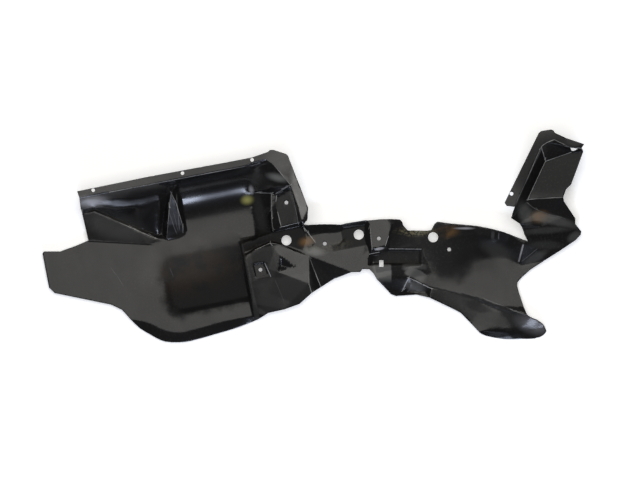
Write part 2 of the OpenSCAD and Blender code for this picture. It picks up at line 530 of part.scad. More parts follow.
// Neck and wing
wing_panels = [
    concat(wing_outer, reversed(wing_inner)),
    [wing_inner[3], wing_outer[6], hood_edge[0], hood_edge[1], hood_edge[2], hood_inner],
    [hood_inner, hood_edge[2], pocket_top[1], pocket_top[0]],
    [wing_inner[0], wing_inner[1], pocket_corner[1], pocket_corner[0]],
    [wing_inner[1], wing_inner[2], pocket_corner[1]],
    [wing_inner[2], wing_inner[3], hood_inner, pocket_top[0], pocket_corner[1]],
    [pocket_corner[0], pocket_corner[1], pocket_top[0], pocket_top[1], pocket_side[0],
        pocket_side[1], pocket_side[2], pocket_side[3]],
    [wing_foot[0], pocket_corner[0], curve[0]],
    [pocket_corner[0], pocket_side[3], wall_side, curve[5], curve[4], curve[3], curve[2],
        curve[1], curve[0]],
    [wing_foot[0], curve[0], curve[1], wing_foot[1]],
    [wing_foot[1], curve[1], curve[2], wing_foot[2]],
    [wing_foot[2], curve[2], curve[3], neck_fold[1], neck_fold[0]],
    [neck_fold[1], curve[3], curve[4], curve[5], neck_fold[2]],
    [neck_fold[0], neck_fold[1], neck_mid, corner_edge[2], corner_edge[1], [403, -66, up(18)]],
    [neck_fold[1], neck_fold[2], neck_edge[0], neck_mid],
    [neck_mid, neck_edge[0], neck_edge[1], neck_edge[2], neck_edge[3]],
    [corner_edge[2], neck_mid, neck_edge[3], lobe_side[0]],
    [corner_low, corner_edge[2], lobe_side[0], lobe_side[1]]];

// Upper skin: every panel cut into triangles, with the corners that panels share made one
skin = [for (panel = concat(tub_panels, triangle_panels, rib_panels, flange_panels, box_panels,
    bridge_panels, centre_panels, pad_panels, facet_panels, lobe_panels, wing_panels))
    each triangles(panel)];
corners = [for (t = skin) each t];
first_use = [for (c = corners) search([c], corners, 1)[0]];
kept = [for (i = [0:len(corners) - 1]) if (first_use[i] == i) i];
points = [for (i = kept) corners[i]];
corner_index = [for (i = first_use) search([i], kept, 1)[0]];
faces = [for (t = [0:len(skin) - 1]) [for (k = [0:2]) corner_index[3 * t + k]]];
point_uses = [for (i = [0:len(points) - 1]) search(i, corner_index, 0)];
normals = [for (t = skin) let (n = cross(t[1] - t[0], t[2] - t[0])) n / norm(n)];

// Edges that only one triangle has are the outer edge of the sheet
edges = [for (f = faces) each [[f[0], f[1]], [f[1], f[2]], [f[2], f[0]]]];
rim = [for (e = edges) if (search([[e[1], e[0]]], edges, 1)[0] == []) e];
on_rim = [for (e = rim) e[0]];

// Lower skin: each point moves off the upper skin by the sheet's thickness. On the rim it moves
// straight down, as a trimmed edge does. Sharp folds would move too far, so they are limited.
fold_limit = 1.8;
function shift(i) = let (
    around = [for (use = point_uses[i]) normals[floor(use / 3)]],
    sum = total(around),
    way = search(i, on_rim, 1) == [] ? sum / norm(sum) : [0, 0, 1],
    least = min([for (n = around) n * way]),
    mean = total([for (n = around) n * way]) / len(around))
    way * sheet_t * min(fold_limit, 1 / max(least, mean * 0.9, 0.2));
lower_points = [for (i = [0:len(points) - 1]) let (low = points[i] - shift(i))
    [low.x, low.y, max(0, low.z)]];

module sheet() {
    n = len(points);
    polyhedron(
        points = concat(points, lower_points),
        faces = concat(
            [for (f = faces) [f[2], f[1], f[0]]],
            [for (f = faces) [f[0] + n, f[1] + n, f[2] + n]],
            [for (e = rim) each [[e[0], e[1], e[1] + n], [e[0], e[1] + n, e[0] + n]]]),
        convexity = 10);
}

// Holes, drilled straight down through the sheet at their own places
flange_hole_y = flange_back - 5;
flange_holes = [[-425, flange_hole_y], [-244, flange_hole_y], [-103, flange_hole_y]];
large_holes = [[-66, 12], [78, -4], [223, -37]];
screw_holes = [[-52, 86], plate_hole, [8, -9], [116, -19], [250, -67], [392, 19]];
vent = [[524.5, 87], [526.5, 79], [543, 81]];
slot_window = [[108.5, -62], [117, -63.5], [114.5, -76.5], [106, -75]];

module drill(places, d) {
    for (p = places) {
        translate([p.x, p.y, -1]) cylinder(d = d, h = flange_z + wing_z);
    }
}

module cut_out(outline) {
    translate([0, 0, -1]) linear_extrude(flange_z + wing_z) polygon(outline);
}

// Middle of the sheet in plan, which is the part's origin
function middle_of(k) = (min([for (p = points) p[k]]) + max([for (p = points) p[k]])) / 2;

module liner() {
    color(liner_colour) translate([-middle_of(0), -middle_of(1), 0]) difference() {
        sheet();
        drill(flange_holes, flange_hole_d);
        drill(large_holes, large_hole_d);
        drill(screw_holes, screw_hole_d);
        cut_out(vent);
        cut_out(slot_window);
    }
}

liner();
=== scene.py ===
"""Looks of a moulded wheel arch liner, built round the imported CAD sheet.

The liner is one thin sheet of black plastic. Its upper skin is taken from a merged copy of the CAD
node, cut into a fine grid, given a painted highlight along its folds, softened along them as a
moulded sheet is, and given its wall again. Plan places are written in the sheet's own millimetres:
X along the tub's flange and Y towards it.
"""

import json
import logging
import math
from dataclasses import dataclass, field
from enum import Enum
from typing import Callable, Optional, Union

import bpy
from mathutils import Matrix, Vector

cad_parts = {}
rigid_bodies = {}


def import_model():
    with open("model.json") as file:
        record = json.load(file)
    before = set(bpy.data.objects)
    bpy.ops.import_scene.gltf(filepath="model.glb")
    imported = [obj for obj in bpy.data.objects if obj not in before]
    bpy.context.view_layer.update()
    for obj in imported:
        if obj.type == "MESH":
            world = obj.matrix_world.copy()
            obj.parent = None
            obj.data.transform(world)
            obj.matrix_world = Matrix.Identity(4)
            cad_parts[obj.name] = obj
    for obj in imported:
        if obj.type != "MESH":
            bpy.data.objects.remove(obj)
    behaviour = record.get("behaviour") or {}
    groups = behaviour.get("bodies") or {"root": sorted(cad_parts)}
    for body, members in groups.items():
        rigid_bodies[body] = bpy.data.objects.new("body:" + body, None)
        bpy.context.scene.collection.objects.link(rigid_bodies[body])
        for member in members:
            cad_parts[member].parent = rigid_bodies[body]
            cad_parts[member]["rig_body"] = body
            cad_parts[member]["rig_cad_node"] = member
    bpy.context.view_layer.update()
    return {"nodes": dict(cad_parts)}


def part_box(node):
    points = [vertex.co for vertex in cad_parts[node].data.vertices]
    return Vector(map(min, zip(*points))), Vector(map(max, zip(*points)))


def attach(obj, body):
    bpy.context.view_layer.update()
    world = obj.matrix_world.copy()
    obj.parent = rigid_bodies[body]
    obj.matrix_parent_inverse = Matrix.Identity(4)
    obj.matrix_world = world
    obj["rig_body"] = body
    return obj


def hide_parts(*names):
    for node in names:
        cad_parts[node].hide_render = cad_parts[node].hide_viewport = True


for leftover in list(bpy.data.objects):
    bpy.data.objects.remove(leftover)
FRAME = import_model()

NODE = "liner"
BODY = "root"
SLOT = "black_plastic"
MM = 0.001
# The frame's origin, in the sheet's plan millimetres
PLAN_ORIGIN = (1.5, -39.5)

Socket = bpy.types.NodeSocket
Value = Union[Socket, float]
log = logging.getLogger("liner")


class Axis(Enum):
    """An axis of the frame."""

    X = 0
    Y = 1
    Z = 2


class Pick(Enum):
    """What is picked in edit mode."""

    POINTS = "VERT"
    FACES = "FACE"


class Blend(Enum):
    """How two values are joined."""

    TIMES = "MULTIPLY"
    PLUS = "ADD"
    MOST = "MAXIMUM"


class Grain(Enum):
    """The patterns of the finish: scale, detail, and stretch along the flange."""

    BROAD = (7.0, 5.0, 1.0)
    WANDER = (32.0, 6.0, 1.0)
    FINE = (260.0, 3.0, 1.0)
    DRAWN = (22.0, 4.0, 2.0)
    FOLD_BREAKUP = (14.0, 3.0, 1.0)


def spot(x: float, y: float) -> Vector:
    """Turns plan millimetres into a place on the frame's floor, in metres."""
    return Vector(((x - PLAN_ORIGIN[0]) * MM, (y - PLAN_ORIGIN[1]) * MM, 0.0))


def plan(place: Vector) -> Vector:
    """Turns a place in the frame into plan millimetres."""
    return Vector((place.x / MM + PLAN_ORIGIN[0], place.y / MM + PLAN_ORIGIN[1]))


def hold(piece: bpy.types.Object) -> None:
    """Makes one piece the only selected and the active one.

    Args:
        piece: The piece.
    """
    bpy.ops.object.select_all(action="DESELECT")
    piece.select_set(True)
    bpy.context.view_layer.objects.active = piece


def open_mesh(piece: bpy.types.Object, pick: Pick) -> None:
    """Starts edit mode on a piece.

    Args:
        piece: The piece.
        pick: What is to be picked.
    """
    hold(piece)
    kinds = ("VERT", "EDGE", "FACE")
    bpy.context.tool_settings.mesh_select_mode = [kind == pick.value for kind in kinds]
    bpy.ops.object.mode_set(mode="EDIT")


def close_mesh() -> None:
    """Ends edit mode."""
    bpy.ops.object.mode_set(mode="OBJECT")


def pick_faces(piece: bpy.types.Object, test: Callable[[bpy.types.MeshPolygon], bool]) -> None:
    """Selects faces and nothing else, in object mode.

    Args:
        piece: The piece.
        test: Says of a face whether it is selected.
    """
    for kind in (piece.data.vertices, piece.data.edges):
        for item in kind:
            item.select = False
    for face in piece.data.polygons:
        face.select = test(face)


def pick_points(piece: bpy.types.Object, test: Callable[[bpy.types.MeshVertex], bool]) -> None:
    """Selects vertices and nothing else, in object mode.

    Args:
        piece: The piece.
        test: Says of a vertex whether it is selected.
    """
    for kind in (piece.data.polygons, piece.data.edges):
        for item in kind:
            item.select = False
    for point in piece.data.vertices:
        point.select = test(point)


def apply(piece: bpy.types.Object, name: str) -> None:
    """Applies one modifier of a piece."""
    hold(piece)
    bpy.ops.object.modifier_apply(modifier=name)


def inside(outline: tuple, place: Vector) -> bool:
    """Says whether a place lies inside an outline in plan.

    Args:
        outline: Corners in plan millimetres, in order.
        place: A place in the frame, in metres.

    Returns:
        True when the place is inside.
    """
    x, y = plan(place)
    within = False
    for (ax, ay), (bx, by) in zip(outline, outline[1:] + outline[:1]):
        if (ay > y) != (by > y) and x < ax + (bx - ax) * (y - ay) / (by - ay):
            within = not within
    return within


class Weave:
    """Adds nodes to one material's tree, most calls returning a socket."""

    def __init__(self, name: str) -> None:
        """Starts a material with its shader and its place on the object.

        Args:
            name: Name of the material.
        """
        self.made = bpy.data.materials.new(name)
        self.made.use_nodes = True
        self.tree = self.made.node_tree
        self.shader = self.tree.nodes["Principled BSDF"]
        self.place = self.tree.nodes.new("ShaderNodeTexCoord").outputs["Object"]
        self.grains = {}

    def link(self, source: Value, target: Socket) -> None:
        """Joins two sockets, or sets the target when the source is a number.

        Args:
            source: A socket or a number.
            target: The socket that takes it.
        """
        if isinstance(source, (int, float)):
            target.default_value = source
        else:
            self.tree.links.new(source, target)

    def fix(self, name: str, value: Union[float, tuple]) -> None:
        """Sets a number or colour on the shader's own socket."""
        self.shader.inputs[name].default_value = value

    def feed(self, name: str, source: Socket) -> None:
        """Leads a pattern into one of the shader's sockets."""
        self.tree.links.new(source, self.shader.inputs[name])

    def grain(self, kind: Grain) -> Socket:
        """Adds a pattern of the finish, or gives the one that is there.

        Args:
            kind: The pattern.

        Returns:
            Its value.
        """
        if kind not in self.grains:
            scale, detail, stretch = kind.value
            drawn = self.tree.nodes.new("ShaderNodeMapping")
            drawn.inputs["Scale"].default_value = (stretch, 1.0, 1.0)
            self.link(self.place, drawn.inputs["Vector"])
            node = self.tree.nodes.new("ShaderNodeTexNoise")
            node.inputs["Scale"].default_value = scale
            node.inputs["Detail"].default_value = detail
            self.link(drawn.outputs["Vector"], node.inputs["Vector"])
            self.grains[kind] = node.outputs["Fac"]
        return self.grains[kind]

    def ramp(self, value: Value, low: float, high: float, start: float = 0.0,
             end: float = 1.0) -> Socket:
        """Adds a smooth ramp.

        Args:
            value: What is ramped.
            low: Value at which the ramp begins.
            high: Value at which it ends.
            start: Result below low.
            end: Result above high.

        Returns:
            The result.
        """
        node = self.tree.nodes.new("ShaderNodeMapRange")
        node.interpolation_type = "SMOOTHSTEP"
        node.inputs["From Min"].default_value = low
        node.inputs["From Max"].default_value = high
        node.inputs["To Min"].default_value = start
        node.inputs["To Max"].default_value = end
        self.link(value, node.inputs["Value"])
        return node.outputs["Result"]

    def join(self, how: Blend, a: Value, b: Value) -> Socket:
        """Joins two values.

        Args:
            how: The way to join them.
            a: The first.
            b: The second.

        Returns:
            The result.
        """
        node = self.tree.nodes.new("ShaderNodeMath")
        node.operation = how.value
        self.link(a, node.inputs[0])
        self.link(b, node.inputs[1])
        return node.outputs["Value"]

    def tint(self, factor: Value, under: Union[Socket, tuple], over: tuple) -> Socket:
        """Lays a colour over another.

        Args:
            factor: Share of the upper colour.
            under: The lower colour.
            over: The upper colour.

        Returns:
            The mixed colour.
        """
        node = self.tree.nodes.new("ShaderNodeMix")
        node.data_type = "RGBA"
        if isinstance(under, tuple):
            node.inputs["A"].default_value = (*under, 1.0)
        else:
            self.link(under, node.inputs["A"])
        node.inputs["B"].default_value = (*over, 1.0)
        self.link(factor, node.inputs["Factor"])
        return node.outputs["Result"]

    def placed(self, x: float, y: float, scale: tuple, turn: float) -> Socket:
        """Adds a coordinate with its origin at a place in plan millimetres.

        Args:
            x: Origin along the flange.
            y: Origin towards the flange.
            scale: Millimetres that count as one, for both directions.
            turn: Turn of the coordinate in degrees.

        Returns:
            The coordinate.
        """
        node = self.tree.nodes.new("ShaderNodeMapping")
        node.vector_type = "TEXTURE"
        node.inputs["Location"].default_value = spot(x, y)
        node.inputs["Rotation"].default_value = (0.0, 0.0, math.radians(turn))
        node.inputs["Scale"].default_value = (scale[0] * MM, scale[1] * MM, 1.0)
        self.link(self.place, node.inputs["Vector"])
        return node.outputs["Vector"]

    def reach(self, place: Socket) -> Socket:
        """Adds the distance of a coordinate from its origin, seen from above.

        Args:
            place: The coordinate.

        Returns:
            The distance.
        """
        flat = self.tree.nodes.new("ShaderNodeVectorMath")
        flat.operation = "MULTIPLY"
        flat.inputs[1].default_value = (1.0, 1.0, 0.0)
        self.link(place, flat.inputs[0])
        length = self.tree.nodes.new("ShaderNodeVectorMath")
        length.operation = "LENGTH"
        self.link(flat.outputs["Vector"], length.inputs[0])
        return length.outputs["Value"]

    def sides(self, place: Socket) -> tuple:
        """Splits a coordinate into its parts.

        Args:
            place: The coordinate.

        Returns:
            Its parts along and across.
        """
        parts = self.tree.nodes.new("ShaderNodeSeparateXYZ")
        self.link(place, parts.inputs["Vector"])
        return parts.outputs["X"], parts.outputs["Y"]

    def bump(self, height: Socket, strength: float, depth: float) -> Socket:
        """Adds a bumpy surface.

        Args:
            height: The pattern that gives the height.
            strength: How strong it is.
            depth: How deep it is, in metres.

        Returns:
            The surface's normal.
        """
        node = self.tree.nodes.new("ShaderNodeBump")
        node.inputs["Strength"].default_value = strength
        node.inputs["Distance"].default_value = depth
        self.link(height, node.inputs["Height"])
        return node.outputs["Normal"]

    def masks(self, areas: tuple) -> Socket:
        """Joins the masks of several areas, the strongest one on top.

        Args:
            areas: Patches and stretches.

        Returns:
            The joined mask.
        """
        joined = areas[0].mask(self)
        for area in areas[1:]:
            joined = self.join(Blend.MOST, joined, area.mask(self))
        return joined


@dataclass(frozen=True)
class Patch:
    """A soft edged oval of a finish, in plan millimetres.

    Its middle, half its width and length, and its amount come first. Then come the softness and the
    raggedness of its edge, as shares of its size, and its turn in degrees.
    """

    x: float
    y: float
    half_x: float
    half_y: float
    amount: float
    soft: float = 0.5
    ragged: float = 0.25
    turn: float = 0.0

    def mask(self, web: Weave) -> Socket:
        """Adds the oval, its edge moved by the wandering pattern.

        Args:
            web: The material's tree.

        Returns:
            The amount at each place.
        """
        place = web.placed(self.x, self.y, (self.half_x, self.half_y), self.turn)
        # The pattern is about a half on average, so the edge wanders to both sides of the oval's own
        shaken = web.join(Blend.TIMES, web.grain(Grain.WANDER), self.ragged * 2.0)
        edge = web.join(Blend.PLUS, web.reach(place), shaken)
        middle = 1.0 + self.ragged
        return web.ramp(edge, middle - self.soft, middle + self.soft, self.amount, 0.0)


@dataclass(frozen=True)
class Stretch:
    """A straight sided area of a finish, in plan millimetres.

    Its middle, half its width and length, and its amount come first. Then come the softness of its
    left, right, near and far side and the raggedness, in millimetres, and its turn in degrees.
    """

    x: float
    y: float
    half_x: float
    half_y: float
    amount: float
    soft: tuple = (4.0, 4.0, 4.0, 4.0)
    ragged: float = 0.0
    turn: float = 0.0
    # Band of the wandering pattern that moves the sides
    band: tuple = (0.2, 0.8)

    def mask(self, web: Weave) -> Socket:
        """Adds the area, its sides moved by the wandering pattern.

        Args:
            web: The material's tree.

        Returns:
            The amount at each place.
        """
        parts = web.sides(web.placed(self.x, self.y, (1.0, 1.0), self.turn))
        if self.ragged:
            moved = web.ramp(web.grain(Grain.WANDER), *self.band, -self.ragged, self.ragged)
            parts = [web.join(Blend.PLUS, part, moved) for part in parts]
        joined = self.amount
        for part, half, low, high in zip(parts, (self.half_x, self.half_y), self.soft[::2],
                                         self.soft[1::2]):
            rising = web.ramp(part, -half - low / 2, -half + low / 2)
            falling = web.ramp(part, half - high / 2, half + high / 2, 1.0, 0.0)
            joined = web.join(Blend.TIMES, web.join(Blend.TIMES, rising, falling), joined)
        return joined


@dataclass(frozen=True)
class Layer:
    """A layer of dirt or of painted light: its colour, where it lies, and the pattern that breaks it
    up.
    """

    colour: tuple
    areas: tuple
    broken_by: Optional[Grain] = None
    # Band of that pattern over which the layer comes in, and the least share of it that stays
    band: tuple = (0.30, 0.60)
    least: float = 0.0

    def over(self, web: Weave, under: Socket) -> Socket:
        """Lays the layer over a colour.

        Args:
            web: The material's tree.
            under: The colour below.

        Returns:
            The colour with the layer.
        """
        cover = web.masks(self.areas)
        if self.broken_by:
            holes = web.ramp(web.grain(self.broken_by), *self.band, self.least)
            cover = web.join(Blend.TIMES, cover, holes)
        return web.tint(cover, under, self.colour)


@dataclass(frozen=True)
class BlackPlastic:
    """Glossy black moulded plastic with dust, dull and damp patches, earth, brown patches and painted
    light.
    """

    name: str = SLOT
    colour: tuple = (0.0075, 0.0072, 0.0072)
    # Roughness of the bare plastic, over a band of the broad pattern
    gloss: tuple = (0.22, 0.36)
    gloss_band: tuple = (0.3, 0.75)
    # Reflection of the bare plastic, and the polish over it where the sheet is clean
    specular: float = 0.03
    polish: float = 0.40
    polish_roughness: float = 0.20
    # Drawn streaks in the polish, over a band of their pattern
    streak: tuple = (0.94, 1.05)
    streak_band: tuple = (0.30, 0.72)
    # Fine specks of dust in broad clouds
    dust: tuple = (0.060, 0.057, 0.050)
    dust_amount: float = 0.20
    cloud_band: tuple = (0.38, 0.72)
    speck_band: tuple = (0.50, 0.72)
    # Fine grain of the surface
    grain_strength: float = 0.05
    grain_depth: float = 0.4 * MM
    # Places where the polish is gone, by damp or by wear
    dull: tuple = (
        # Tub, dish and box
        Stretch(-243, -36, 84, 60, 0.98, (44, 4, 34, 104), 10),
        Stretch(-394, 69, 64, 1.4, 0.95, (4, 20, 1, 1), 0, -14),
        Patch(-325, 150, 62, 16, 0.90, 0.6, 0.25),
        Patch(-352, 118, 56, 24, 0.60, 0.5, 0.25),
        Patch(-281, 104, 20, 46, 0.80, 0.3, 0.15),
        Patch(-178, 126, 40, 16, 0.50, 0.7, 0.20),
        Patch(-152, -131, 14, 10, 1.00, 0.3, 0.05),
        Patch(-57, 74, 20, 38, 0.45, 0.20, 0.05),
        # Plate and the panels beside it
        Stretch(-92, 20, 66, 14, 0.88, (4, 3, 3, 3)),
        Stretch(-62, 12, 34, 11, 0.85, (3, 3, 1, 3), 0, -29),
        Stretch(-119, -16, 22, 40, 0.45, (3, 1, 3, 3), 0, 3),
        Stretch(-128, -92, 32, 36, 0.45, (3, 30, 6, 2)),
        Stretch(-78, -85, 42, 24, 0.62, (20, 6, 6, 1), 0, -32),
        # Bridge, pad, slot and cup
        Stretch(36, 23, 60, 11.5, 0.80, (2, 2, 2, 2)),
        Stretch(70, -1, 26, 27, 0.75, (3, 3, 1, 3)),
        Stretch(52, -21, 32, 7, 0.65, (12, 3, 1, 4)),
        Stretch(166, -14, 26, 30, 0.75, (3, 20, 6, 6), 6),
        Stretch(148, -66, 50, 20, 0.85, (2, 2, 2, 2)),
        Stretch(141, -98, 13, 20, 0.95, (2, 8, 4, 4), 1, -10.8),
        Patch(130, -113, 28, 18, 0.95, 0.3, 0.05),
        # Lobe
        Patch(250, -92, 46, 40, 0.92, 0.50, 0.45, -20),
        Patch(246, -44, 66, 24, 0.90, 0.35, 0.45),
        Patch(300, -100, 44, 28, 0.40, 0.80, 0.45, -25),
        Patch(205, -88, 22, 26, 0.45, 0.40, 0.30),
        # Foot
        Stretch(243.5, -154, 52, 2.0, 0.75, (10, 10, 2, 2), 3, -25),
        Stretch(336, -204, 50, 2.4, 0.95, (10, 10, 2, 2), 3, -33),
        Patch(285, -190, 30, 10, 0.70, 0.4, 0.60, -28),
        Patch(318, -218, 52, 12, 0.35, 0.5, 0.30, -24),
        Patch(312, -250, 72, 9, 1.00, 0.3, 0.05, -3),
        # Neck and wing
        Patch(465, -80, 66, 22, 0.80, 0.35, 0.10),
        Patch(420, -50, 24, 8, 1.00, 0.3, 0.05),
        Patch(470, 42, 60, 42, 0.62, 0.35, 0.05),
        Patch(480, 60, 90, 70, 0.66, 0.35, 0.05))
    # Places that are polished by rubbing
    shine: tuple = (
        # Tub and the end of its flange
        Patch(-436, 158, 26, 12, 0.60, 0.7, 0.15, -8),
        Patch(-243, 133, 22, 16, 0.45, 0.7, 0.15),
        Patch(-117, 124, 14, 14, 0.60, 0.7, 0.15),
        Patch(-390, 181, 90, 12, 0.12, 0.5, 0.10),
        Patch(-45, 172, 30, 24, 0.22, 0.5, 0.10),
        Patch(-17, 96, 18, 60, 0.95, 0.4, 0.20),
        # Panels and pad
        Stretch(-64, -36, 42, 25, 0.20, (4, 6, 2, 2), 0, -30),
        Stretch(44, -52, 64, 26, 0.08, (6, 3, 6, 2)),
        Stretch(118, -12, 22, 30, 0.10, (6, 3, 6, 2)))
    # Painted sheen: light colour laid on unlit slopes and crevices, standing in for soft highlights
    painted_sheen: Layer = Layer(
        colour=(0.150, 0.150, 0.142), broken_by=Grain.WANDER, band=(0.1, 0.7), least=0.8, areas=(
            # Tub, dish and plate
            Patch(-262, 12, 82, 32, 0.16, 0.9, 0.30, 4),
            Patch(-400, 108, 62, 26, 0.15, 0.5, 0.20, -30),
            Patch(-108, 76, 10, 36, 0.07, 0.5, 0.20),
            Patch(-60, 138, 16, 6, 0.85, 0.9, 0.10, -25),
            Patch(-16, -20, 17, 7, 0.72, 0.8, 0.35, -18),
            Stretch(-155, -52, 5, 84, 0.12, (3, 3, 8, 8), 1, 2),
            Stretch(-86, -92, 56, 34, 0.07, (30, 8, 10, 6), 4),
            # Slot and cup
            Stretch(110, -87, 18, 16, 0.52, (12, 3, 14, 3), 1, -10.8),
            Stretch(150, -64, 46, 12, 0.05, (10, 10, 8, 8), 1, -10.8),
            Stretch(176, -88, 24, 6, 0.24, (10, 12, 6, 3), 2, -11),
            Stretch(176, -103, 20, 9, 0.40, (8, 14, 4, 3), 2, -38),
            Patch(168, -126, 20, 10, 0.35, 0.5, 0.25, -28),
            # Lobe and foot
            Patch(214, -62, 62, 54, 0.06, 0.9, 0.30),
            Patch(345, -90, 30, 14, 0.12, 0.60, 0.45, -35),
            Patch(296, -194, 84, 22, 0.10, 0.5, 0.30, -30),
            # Neck and wing
            Patch(416, -116, 26, 8, 0.18, 0.5, 0.20, 22),
            Patch(450, -66, 44, 6, 0.14, 0.6, 0.20, -6),
            Patch(412, -24, 12, 22, 0.30, 0.6, 0.25, 8),
            Patch(466, -48, 46, 9, 0.26, 0.5, 0.25, -27),
            Patch(440, -94, 30, 8, 0.10, 0.6, 0.25, -12),
            Patch(501, -89, 14, 8, 0.24, 0.6, 0.25, 20),
            Patch(440, -38, 20, 9, 0.30, 0.7, 0.40, -20),
            Patch(533, 96, 16, 8, 0.10, 0.6, 0.10, -28)))
    # Gritty earth along the edge between the pad and the lobe, and on the bridge
    earth: Layer = Layer(
        colour=(0.120, 0.108, 0.062), broken_by=Grain.FINE, band=(0.36, 0.64), areas=(
            Patch(192, -19, 32, 8, 0.90, 0.6, 0.40, -11),
            Patch(8, -18, 46, 9, 0.20, 0.6, 0.30)))
    # Brown patches beside two of the large holes, on the neck and faintly in the dish
    brown_patches: Layer = Layer(
        colour=(0.150, 0.080, 0.026), broken_by=Grain.WANDER, band=(0.30, 0.60), areas=(
            Patch(-26, 2, 13, 8, 0.80, 0.8, 0.45),
            Patch(253, -32, 19, 10, 0.50, 0.8, 0.45),
            Patch(440, -36, 16, 10, 0.55, 0.7, 0.45),
            Patch(-262, -4, 80, 42, 0.08, 0.9, 0.30, 4)))
    # Painted yellow reflection in the tub, by the end of the wall's highlight
    painted_yellow_reflection: Layer = Layer(
        colour=(0.320, 0.310, 0.100), areas=(
            Patch(-128, 106, 9, 7, 0.62, 0.95, 0.25),))
    # Painted highlights on folds, edges, the tub's wall and the foot's tip, and thin light lines
    painted_highlights_and_lines: Layer = Layer(
        colour=(0.260, 0.258, 0.270), broken_by=Grain.WANDER, band=(0.25, 0.55), least=0.5, areas=(
            # Tub, rib, tongue and dish
            Patch(-436, 161, 26, 9, 0.85, 0.9, 0.20, -6),
            Patch(-116, 124, 4, 7, 0.80, 0.8, 0.10),
            Stretch(-272, 171.6, 182, 0.6, 0.20, (10, 10, 0.6, 0.6), 0.3),
            Stretch(-268, 108, 0.7, 34, 0.30, (0.8, 0.8, 10, 10), 0.8, -6),
            Stretch(-283, 92, 0.6, 26, 0.26, (0.8, 0.8, 10, 10), 0.8, 9),
            Stretch(-276, 90, 0.6, 18, 0.18, (0.8, 0.8, 10, 10), 0.8, 3),
            Stretch(-412, 4, 0.5, 20, 0.16, (0.8, 0.8, 14, 14), 1.0, 24),
            Stretch(-304, -8, 0.5, 9, 0.22, (0.8, 0.8, 8, 8), 1.0, 10),
            # Plate and pad
            Stretch(-98.5, -85, 0.5, 23, 0.12, (1, 1, 10, 10), 0.5, 11),
            Stretch(-113.5, -39, 0.7, 15, 0.8, (0.5, 0.5, 3, 3), 0.3, 13),
            Patch(113, -39.5, 9, 2.6, 1.0, 0.3, 0.1),
            # Lobe and foot
            Patch(287, -31, 17, 2.2, 0.75, 0.6, 0.50, -10.8),
            Stretch(341, -55, 3.0, 7, 0.10, (3, 3, 8, 8), 1, -10.8),
            Stretch(352, -59, 1.0, 6, 0.22, (1, 1, 6, 6), 0.8, -10.8),
            Stretch(336, -199.5, 46, 0.7, 0.22, (14, 14, 1, 1), 1, -33),
            Patch(387, -246, 26, 13, 0.38, 0.95, 0.15, -30),
            # Neck and wing
            Stretch(389.5, -101, 1.5, 18, 0.80, (2, 1, 4, 4), 0.5, -26),
            Stretch(405, -108.5, 20, 0.5, 0.28, (6, 6, 0.6, 0.6), 0.4, 28.8),
            Stretch(433.6, 48.8, 60, 0.6, 0.34, (8, 8, 0.6, 0.6), 0.3, 53.7)))

    def material(self) -> bpy.types.Material:
        """Builds the finish.

        Returns:
            The material, with its patterns on Object coordinates.
        """
        web = Weave(self.name)
        web.feed("Base Color", self.colour_with_dirt_and_painted_light(web))
        web.feed("Coat Weight", self.polish_left(web))
        web.fix("Coat Roughness", self.polish_roughness)
        web.fix("Specular IOR Level", self.specular)
        web.feed("Roughness", web.ramp(web.grain(Grain.BROAD), *self.gloss_band, *self.gloss))
        web.feed("Normal", web.bump(web.grain(Grain.FINE), self.grain_strength, self.grain_depth))
        return web.made

    def colour_with_dirt_and_painted_light(self, web: Weave) -> Socket:
        """Lays dust, earth, brown patches and painted light over the plastic's colour.

        Args:
            web: The material's tree.

        Returns:
            The colour at each place.
        """
        clouds = web.ramp(web.grain(Grain.BROAD), *self.cloud_band)
        specks = web.join(Blend.TIMES, clouds, web.ramp(web.grain(Grain.FINE), *self.speck_band))
        colour = web.tint(web.join(Blend.TIMES, specks, self.dust_amount), self.colour, self.dust)
        for layer in (self.painted_sheen, self.earth, self.brown_patches, self.painted_yellow_reflection, self.painted_highlights_and_lines):
            colour = layer.over(web, colour)
        return colour

    def polish_left(self, web: Weave) -> Socket:
        """Takes the polish off where the sheet is dull, and adds to it where it is rubbed.

        Args:
            web: The material's tree.

        Returns:
            The polish at each place.
        """
        streak = web.ramp(web.grain(Grain.DRAWN), *self.streak_band, *self.streak)
        left = web.ramp(web.masks(self.dull), 0.0, 1.0, self.polish, 0.0)
        streaky = web.join(Blend.TIMES, left, streak)
        return web.join(Blend.PLUS, streaky, web.masks(self.shine))


@dataclass(frozen=True)
class FoldHighlightPaint:
    """The same plastic with a painted highlight: a lighter colour on the narrow face along a fold."""

    name: str = "painted_highlight_on_folds"
    colour: tuple = (0.040, 0.040, 0.038)
    highlight_colour: tuple = (0.230, 0.225, 0.215)
    # Band of the pattern over which the colour turns to the lighter one of the painted highlight
    band: tuple = (0.36, 0.62)
    # Roughness and reflection
    gloss: float = 0.34
    specular: float = 0.3

    def material(self) -> bpy.types.Material:
        """Builds the finish.

        Returns:
            The material, with its pattern on Object coordinates.
        """
        web = Weave(self.name)
        fold_highlight = web.ramp(web.grain(Grain.FOLD_BREAKUP), *self.band)
        web.feed("Base Color", web.tint(fold_highlight, self.colour, self.highlight_colour))
        web.fix("Roughness", self.gloss)
        web.fix("Specular IOR Level", self.specular)
        return web.made


